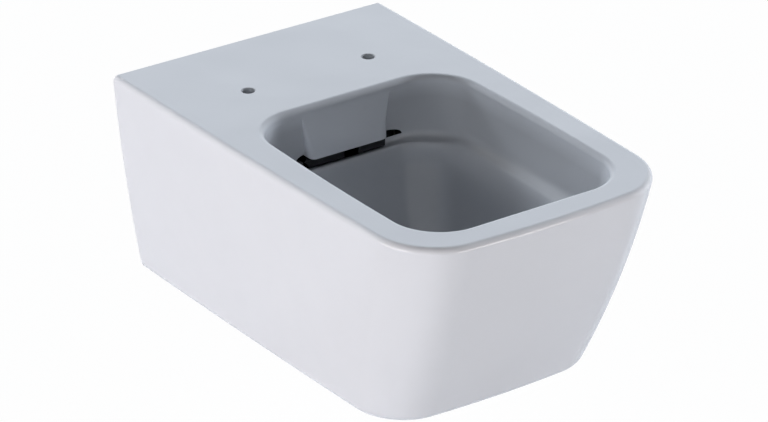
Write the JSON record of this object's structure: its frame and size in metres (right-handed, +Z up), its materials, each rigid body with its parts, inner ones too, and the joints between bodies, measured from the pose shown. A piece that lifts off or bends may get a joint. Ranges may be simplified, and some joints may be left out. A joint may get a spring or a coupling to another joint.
{
  "type": "wall hung toilet pan",
  "caption": "Wall hung rimless toilet pan with a flat tapered body, open seat hinge holes, concealed wall brackets, water seal trap and flush distributor.",
  "frame": {"origin": "midpoint between the two wall studs, on the wall face", "axes": "+Z up, -Y out from the wall to the front of the pan, +X to the right of someone facing the pan from the front"},
  "size_m": [0.35, 0.55, 0.24],
  "materials": {
    "glazed_white": "gloss",
    "bisque": "matt",
    "black_rubber": "matt",
    "zinc_steel": "zinc plated",
    "grey_plastic": "matt"
  },
  "bodies": {
    "pan": {"outer_shell": "glazed_white", "seat_deck": "glazed_white", "rim": "glazed_white", "bowl": "glazed_white", "flush_distributor": "glazed_white", "flush_duct": "bisque", "inlet_spigot": "bisque", "inlet_seal": "black_rubber", "trap_riser": "bisque", "trap_crown": "bisque", "trap_fall": "bisque", "outlet_spigot": "bisque", "hanger_left": "bisque", "hanger_right": "bisque", "bracket_left": "zinc_steel", "bracket_right": "zinc_steel", "support_pads_left": "grey_plastic", "support_pads_right": "grey_plastic", "stud_bushes": "grey_plastic", "stud_washers": "zinc_steel", "stud_nuts": "zinc_steel"},
    "screw_left": {"clamp_screw_left": "zinc_steel"},
    "screw_right": {"clamp_screw_right": "zinc_steel"},
    "wedge_left": {"clamp_wedge_left": "grey_plastic"},
    "wedge_right": {"clamp_wedge_right": "grey_plastic"}
  },
  "joints": [
    {"name": "clamp_screw_left_turn", "type": "hinge", "parent": "pan", "child": "screw_left", "pos_m": [-0.0775, -0.114, 0], "axis": [0, 0, 1], "range_deg": [0, 1728]},
    {"name": "clamp_wedge_left_rise", "type": "slide", "parent": "pan", "child": "wedge_left", "axis": [0, 0, 1], "range_m": [0, 0.006]},
    {"name": "clamp_screw_right_turn", "type": "hinge", "parent": "pan", "child": "screw_right", "pos_m": [0.0775, -0.114, 0], "axis": [0, 0, 1], "range_deg": [0, 1728]},
    {"name": "clamp_wedge_right_rise", "type": "slide", "parent": "pan", "child": "wedge_right", "axis": [0, 0, 1], "range_m": [0, 0.006]}
  ],
  "couplings": [
    {"joint": "clamp_screw_left_turn", "follows": "clamp_wedge_left_rise", "rad_per_m": 5026.5},
    {"joint": "clamp_screw_right_turn", "follows": "clamp_wedge_right_rise", "rad_per_m": 5026.5}
  ]
}
